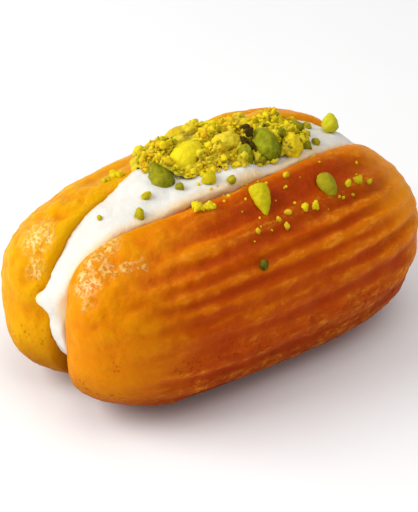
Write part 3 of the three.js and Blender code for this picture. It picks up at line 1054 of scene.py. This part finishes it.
def clump(x, y, size, tint):
    """Small crumbs huddled together where one large one lies in the CAD."""
    count = int(2 + 2 * size)
    angle = np.arange(count) * 2.4
    reach = size * 0.42 * np.sqrt(np.arange(count) / count)
    parts = draw.uniform(0.4, 0.62, count) * size
    tints = tint + draw.uniform(-0.05, 0.12, count)
    return np.stack([x + reach * np.cos(angle), y + reach * np.sin(angle), parts, tints], 1)


def dusting(count):
    """Specks strewn thinly round the heap, most of them on the front half."""
    x, y = draw.uniform(-8, 26, count), draw.uniform(-21, -3, count)
    return np.stack([x, y, draw.uniform(0.3, 0.6, count), draw.uniform(0, 0.5, count)], 1)


lone = [(*spot, BROWN_AND_SHADE_TINT) for spot in BROWN_BITS_AND_SHADE] + [(*spot, GREEN_TINT) for spot in GREEN_BITS]
for x, y, size, tint in LONE_CRUMBS:
    crumbled = tint < PALE and size > WHOLE
    lone.extend(clump(x, y, size, tint) if crumbled else [(x, y, size, tint)])
lone = [(x - MIDDLE_X, *rest) for x, *rest in lone] + list(dusting(SPECKS))
lone_crumbs = strewn("lone_crumbs", lone, sink=0.3, clearance=0, narrowest=0.75, widest=1.25)
for form in [*crumb_forms, bean]:
    bpy.data.objects.remove(form)

# %% [markdown]
# Pistachio is yellow inside and green to olive under its skin. Every crumb carries its own tint,
# and a mottle breaks each up. A chopped nut is dry, so it has no coat. The core has painted shade,
# darkest in the gaps between its grains.


# %% Finishes of the crumbs and of the core
def nut_finish(name):
    """The shader that all loose nuts share."""
    return Finish(
        name,
        Subsurface_Weight=0.12,
        Subsurface_Radius=(1, 0.9, 0.3),
        Subsurface_Scale=0.8 * MM,
        Specular_IOR_Level=0.12,
        IOR=1.45,
    )


def nut_skin(nut, piece, tint, stops, mottled, roughness):
    """Nut flesh: colours along a ramp, moved by a tint and by mottle, and fine roughness."""
    mottle = nut.noise(1.1, 3, 0.6)
    rough = nut.noise(0.35, 3, 0.7)
    nut.wear(
        piece,
        Base_Color=nut.ramp(mottled * (mottle - 0.5) + tint, stops),
        Roughness=roughness + rough * 0.2,
        Normal=nut.bump(rough, 0.12, after=nut.bump(mottle, 0.2)),
    )


CRUMB_COLOURS = [
    (0.0, (0.70, 0.42, 0.010)),
    (0.12, (0.84, 0.66, 0.010)),
    (0.35, (0.70, 0.54, 0.006)),
    (0.6, (0.40, 0.35, 0.005)),
    (0.85, (0.15, 0.15, 0.003)),
    (1.0, (0.06, 0.035, 0.002)),
]
CORE_GAP_SHADE_COLOURS = [
    (0.0, (0.06, 0.035, 0.001)),
    (0.45, (0.46, 0.33, 0.005)),
    (1.0, (0.78, 0.62, 0.010)),
]
for piece in (heap_crumbs, lone_crumbs):
    crumbs = nut_finish("chopped_" + piece.name)
    nut_skin(crumbs, piece, crumbs.kept("tint"), CRUMB_COLOURS, mottled=0.5, roughness=0.6)
heaped = Finish("pistachio_heap", Subsurface_Weight=0.2, Subsurface_Scale=0.8 * MM, IOR=1.45)
grit = heaped.noise(0.9, 3, 0.65)
# painted shade: low places between the grains get the darkest colours
high = heaped.step(heaped.kept("relief") + (grit - 0.5) * 0.4, -0.5, 0.4)
heaped.wear(
    core,
    Base_Color=heaped.ramp(high, CORE_GAP_SHADE_COLOURS),
    Roughness=0.75 + grit * 0.2,
    Normal=heaped.bump(grit, 0.35),
)

# %% Finishes of the kernels, each with painted shade underneath and towards the far end
KERNEL_COLOURS = {
    "dark_end": [
        (0.0, (0.40, 0.40, 0.006)),
        (0.5, (0.15, 0.17, 0.002)),
        (0.8, (0.05, 0.06, 0.001)),
    ],
    "teardrop": [
        (0.0, (0.38, 0.34, 0.004)),
        (0.5, (0.14, 0.15, 0.002)),
        (0.9, (0.05, 0.06, 0.001)),
    ],
    "long": [(0.0, (0.76, 0.54, 0.01)), (0.6, (0.55, 0.38, 0.008)), (1.0, (0.22, 0.14, 0.004))],
    "lump": [(0.0, (0.84, 0.68, 0.01)), (0.6, (0.72, 0.56, 0.008)), (1.0, (0.42, 0.33, 0.004))],
    "rough": [(0.0, (0.80, 0.62, 0.03)), (0.6, (0.70, 0.52, 0.02)), (1.0, (0.40, 0.28, 0.01))],
    "small": [(0.0, (0.40, 0.38, 0.01)), (0.6, (0.20, 0.20, 0.004)), (1.0, (0.08, 0.08, 0.002))],
    "cluster": [(0.0, (0.84, 0.64, 0.01)), (0.6, (0.74, 0.54, 0.008)), (1.0, (0.30, 0.28, 0.004))],
    "wedge": [(0.0, (0.70, 0.58, 0.003)), (0.6, (0.50, 0.42, 0.003)), (1.0, (0.22, 0.22, 0.002))],
    "leaf": [(0.0, (0.42, 0.36, 0.006)), (0.6, (0.28, 0.23, 0.003)), (1.0, (0.12, 0.11, 0.002))],
    "far": [(0.0, (0.74, 0.66, 0.02)), (0.6, (0.52, 0.50, 0.012)), (1.0, (0.22, 0.22, 0.004))],
}
PAINTED_SHADE_PER_MM = 0.09

for name, kernel in kernels.items():
    (middle_x, _, middle_z), *_ = KERNELS[name]
    flesh = nut_finish("kernel_" + name)
    # painted shade: each kernel darker towards +X and downwards, away from the window
    painted_shade = (flesh.axis("X") - middle_x) * PAINTED_SHADE_PER_MM
    painted_shade = painted_shade - (flesh.axis("Z") - middle_z) * PAINTED_SHADE_PER_MM
    nut_skin(flesh, kernel, painted_shade + 0.4, KERNEL_COLOURS[name], mottled=0.9, roughness=0.42)

# %% [markdown]
# ## Riding the frame
#
# Each piece hides the CAD solid that it stands for and moves with a body. The pastry has no
# joints, so all ride the root. The loose crumbs are added to the heap and to the dough, and stand
# for no solid of their own.

# %% Nodes and the body
stand_ins = [
    (dough, "pastry", "glazed_dough"),
    (cream, "cream", "cream"),
    (core, "pistachio_heap", "chopped_pistachio"),
    *[(kernel, "kernel_" + name, "green_kernel") for name, kernel in kernels.items()],
]
for piece, node, slot in stand_ins:
    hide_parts(node)
    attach(piece, "root")
for piece in (heap_crumbs, lone_crumbs):
    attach(piece, "root")
print("pieces that stand for a solid:", len(stand_ins))

# %% [markdown]
# ## Table, light and camera
#
# The pastry lies on a plain white table. A large soft window stands behind it to the left, a
# weaker light hangs overhead, and the pale room fills the shadows.

# %% The table
bpy.ops.object.select_all(action="DESELECT")
bpy.ops.mesh.primitive_plane_add(size=6)
table = named("table")
paper = Finish("white_table", Roughness=0.6)
paper.wear(table, Base_Color=paper.mix(paper.noise(40), (0.93, 0.93, 0.93), (0.96, 0.96, 0.96)))

# %% The lights, in metres and watts
ROOM_LIGHT = 0.46


def soft_light(name, towards, distance, size, power):
    """A square lamp that far from the pastry, in that direction, and facing it."""
    direction = Vector(towards).normalized()
    bpy.ops.object.light_add(type="AREA", location=direction * distance)
    lamp = bpy.context.object
    lamp.name = name
    lamp.rotation_euler = direction.to_track_quat("Z", "Y").to_euler()
    lamp.data.size, lamp.data.energy = size, power
    print(name, "at", [round(part, 2) for part in lamp.location], "with", power, "W")


soft_light("window", towards=(-0.7, 0.45, 0.6), distance=0.6, size=0.42, power=3.1)
soft_light("overhead", towards=(0.1, -0.3, 1), distance=0.7, size=0.6, power=1.6)
world = bpy.data.worlds.new("room")
bpy.context.scene.world = world
world.use_nodes = True
world.node_tree.nodes["Background"].inputs["Color"].default_value = (1, 1, 1, 1)
world.node_tree.nodes["Background"].inputs["Strength"].default_value = ROOM_LIGHT
bpy.context.scene.view_settings.view_transform = "Standard"

# %% The camera, where it stood for the photograph
AZIMUTH, ELEVATION, ROLL = (math.radians(a) for a in (-40.828, 32.953, 0.972))
DISTANCE = 450
PIXELS_PER_MM = 5.032  # at the target
PICTURE_WIDTH, PICTURE_HEIGHT = 418, 512
TARGET = Vector((-MIDDLE_X, 0, 19))
TARGET_PIXEL = (213.113, 249.013)
SENSOR = 36
back = Vector((
    math.sin(AZIMUTH) * math.cos(ELEVATION),
    -math.cos(AZIMUTH) * math.cos(ELEVATION),
    math.sin(ELEVATION),
))
bpy.ops.object.camera_add(location=(TARGET + back * DISTANCE) * MM)
camera = bpy.context.object
level = Euler((math.pi / 2 - ELEVATION, 0, AZIMUTH)).to_matrix()
camera.rotation_euler = (level @ Euler((0, 0, ROLL)).to_matrix()).to_euler()
camera.data.sensor_width = SENSOR
camera.data.lens = PIXELS_PER_MM * DISTANCE * SENSOR / PICTURE_HEIGHT
camera.data.shift_x = (PICTURE_WIDTH / 2 - TARGET_PIXEL[0]) / PICTURE_HEIGHT
camera.data.shift_y = (TARGET_PIXEL[1] - PICTURE_HEIGHT / 2) / PICTURE_HEIGHT
camera.data.clip_start, camera.data.clip_end = 0.01, 20
bpy.context.scene.camera = camera
print("camera lens:", round(camera.data.lens, 1), "mm")
